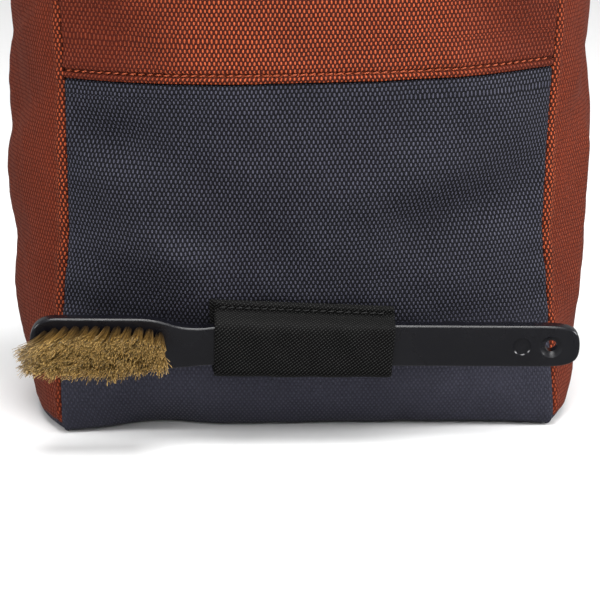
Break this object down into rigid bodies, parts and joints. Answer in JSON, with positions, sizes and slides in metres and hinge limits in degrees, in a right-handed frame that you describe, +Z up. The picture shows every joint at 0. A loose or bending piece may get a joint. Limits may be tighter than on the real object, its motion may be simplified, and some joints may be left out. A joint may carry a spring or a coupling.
{
  "type": "climbing chalk bag with brush",
  "caption": "Floor-standing chalk bag of two-colour woven nylon with a bound open mouth, and a boar-hair brush held in an elastic sleeve low on its front.",
  "frame": {"origin": "centre of the flat base, on the surface that the bag stands on", "axes": "+Z up, the front with the brush faces -Y, +X to the right as seen from the front, towards the brush's tail"},
  "size_m": [0.1889, 0.1447, 0.2064],
  "materials": {
    "slate_nylon": "coarse plain-woven nylon, slightly shiny yarns",
    "rust_nylon": "coarse plain-woven nylon, slightly shiny yarns",
    "rust_binding": "narrow woven tape, stitched",
    "black_elastic": "ribbed elastic, matt",
    "black_plastic": "moulded, glossy",
    "boar_hair": "stiff natural bristle, satin"
  },
  "bodies": {
    "root": {"lower_wrap": "slate_nylon", "front_upper_panel": "rust_nylon", "back_upper_panel": "rust_nylon", "left_gusset": "rust_nylon", "right_gusset": "rust_nylon", "mouth_binding": "rust_binding", "elastic_sleeve": "black_elastic", "brush_handle": "black_plastic", "brush_bristles": "boar_hair"}
  },
  "joints": []
}
